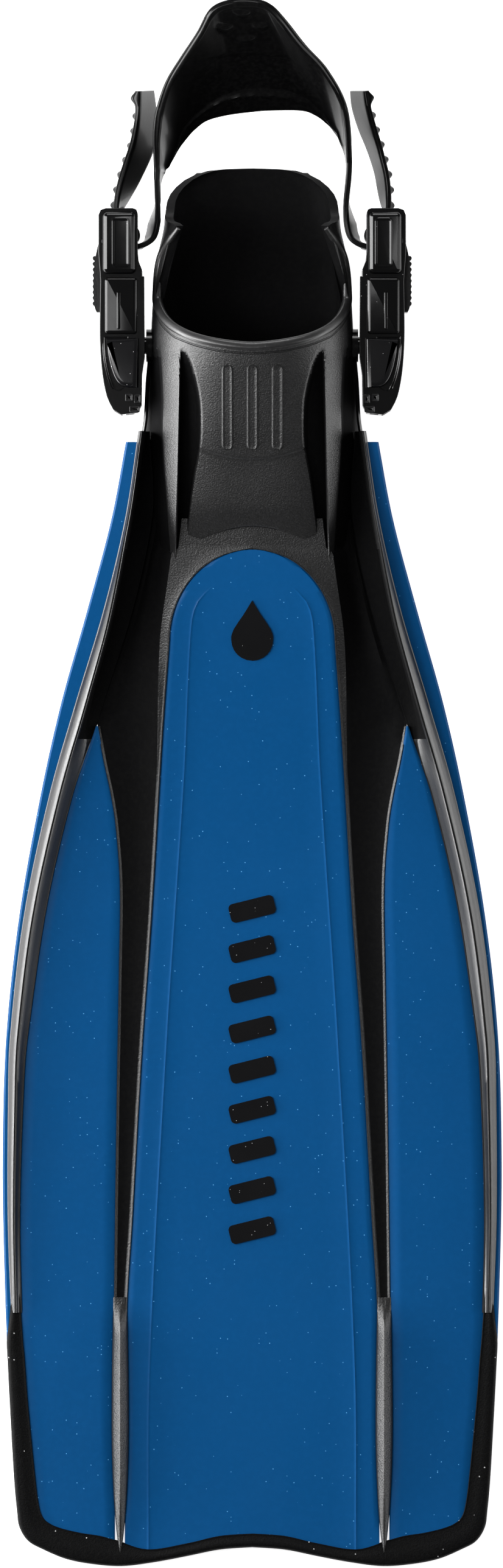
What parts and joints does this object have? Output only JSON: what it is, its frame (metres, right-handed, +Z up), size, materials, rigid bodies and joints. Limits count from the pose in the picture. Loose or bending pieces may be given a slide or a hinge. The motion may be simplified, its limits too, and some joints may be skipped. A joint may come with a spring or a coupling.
{
  "type": "swim fin",
  "caption": "Open-heel swim fin with a channelled blade, rubber side rails, a foot pocket and a buckled adjustable heel strap.",
  "frame": {"origin": "on the floor under the centre of the whole fin, lying blade down with its strap up", "axes": "+Y from blade tip to heel strap, +Z up from the floor, +X to the right seen from above with the heel up the page"},
  "size_m": [0.2296, 0.72, 0.0996],
  "materials": {
    "blade": "satin moulded technopolymer with a faint sparkle",
    "rubber": "fine pebbled matt",
    "sole": "matt tread",
    "strap": "smooth satin",
    "buckle": "polished moulded",
    "inlay": "gloss",
    "pivot_metal": "satin",
    "pin_steel": "satin"
  },
  "bodies": {
    "fin": {"blade_plate": "blade", "rail_left": "rubber", "rail_right": "rubber", "insert_left": "rubber", "insert_right": "rubber", "tip_bumper": "rubber", "emblem": "inlay", "graphic_bars": "inlay", "foot_pocket": "rubber", "pocket_rim": "rubber", "instep_bars": "rubber", "sole_plate": "sole", "post_left": "pivot_metal", "post_right": "pivot_metal", "post_cap_left": "pivot_metal", "post_cap_right": "pivot_metal"},
    "buckle_left": {"buckle_frame_left": "buckle", "arm_panel_left": "buckle", "roller_pin_left": "pin_steel", "lever_pin_left": "pin_steel", "lever_spring_left": "pin_steel"},
    "roller_left": {"roller_left": "buckle"},
    "lever_left": {"release_lever_left": "buckle"},
    "buckle_right": {"buckle_frame_right": "buckle", "arm_panel_right": "buckle", "roller_pin_right": "pin_steel", "lever_pin_right": "pin_steel", "lever_spring_right": "pin_steel"},
    "roller_right": {"roller_right": "buckle"},
    "lever_right": {"release_lever_right": "buckle"},
    "strap_core": {"strap_wrap_left": "strap", "strap_wrap_right": "strap"},
    "heel_strap": {"heel_pad": "strap", "strap_arm_left": "strap", "strap_arm_right": "strap"},
    "tail_left": {"strap_tail_left": "strap"},
    "tail_right": {"strap_tail_right": "strap"}
  },
  "joints": [
    {"name": "strap_swing", "type": "hinge", "parent": "fin", "child": "strap_core", "pos_m": [0, 0.2015, 0.045], "axis": [1, 0, 0], "range_deg": [-5, 80]},
    {"name": "buckle_left_swing", "type": "hinge", "parent": "fin", "child": "buckle_left", "pos_m": [-0.055, 0.2015, 0.045], "axis": [1, 0, 0], "range_deg": [-5, 80]},
    {"name": "buckle_right_swing", "type": "hinge", "parent": "fin", "child": "buckle_right", "pos_m": [0.055, 0.2015, 0.045], "axis": [1, 0, 0], "range_deg": [-5, 80]},
    {"name": "strap_adjust", "type": "slide", "parent": "strap_core", "child": "heel_strap", "axis": [0, 1, 0], "range_m": [-0.012, 0.008], "deforming": ["strap_wrap_left", "strap_wrap_right"]},
    {"name": "tail_left_slide", "type": "slide", "parent": "strap_core", "child": "tail_left", "axis": [0, 1, 0], "range_m": [-0.008, 0.012]},
    {"name": "tail_right_slide", "type": "slide", "parent": "strap_core", "child": "tail_right", "axis": [0, 1, 0], "range_m": [-0.008, 0.012]},
    {"name": "roller_left_turn", "type": "hinge", "parent": "buckle_left", "child": "roller_left", "pos_m": [-0.056, 0.252, 0.045], "axis": [0, 0, 1], "range_deg": [-138, 92]},
    {"name": "roller_right_turn", "type": "hinge", "parent": "buckle_right", "child": "roller_right", "pos_m": [0.056, 0.252, 0.045], "axis": [0, 0, 1], "range_deg": [-92, 138]},
    {"name": "lever_left_press", "type": "hinge", "parent": "buckle_left", "child": "lever_left", "pos_m": [-0.0676, 0.249, 0.045], "axis": [0, 0, 1], "range_deg": [0, 5], "stiffness_Nm_per_rad": 0.3, "springref_deg": -8.59},
    {"name": "lever_right_press", "type": "hinge", "parent": "buckle_right", "child": "lever_right", "pos_m": [0.0676, 0.249, 0.045], "axis": [0, 0, 1], "range_deg": [-5, 0], "stiffness_Nm_per_rad": 0.3, "springref_deg": 8.59}
  ],
  "couplings": [
    {"joint": "buckle_left_swing", "follows": "strap_swing", "ratio": 1},
    {"joint": "buckle_right_swing", "follows": "strap_swing", "ratio": 1},
    {"joint": "tail_left_slide", "follows": "strap_adjust", "ratio": -1},
    {"joint": "tail_right_slide", "follows": "strap_adjust", "ratio": -1},
    {"joint": "roller_left_turn", "follows": "strap_adjust", "rad_per_m": 200},
    {"joint": "roller_right_turn", "follows": "strap_adjust", "rad_per_m": -200}
  ]
}
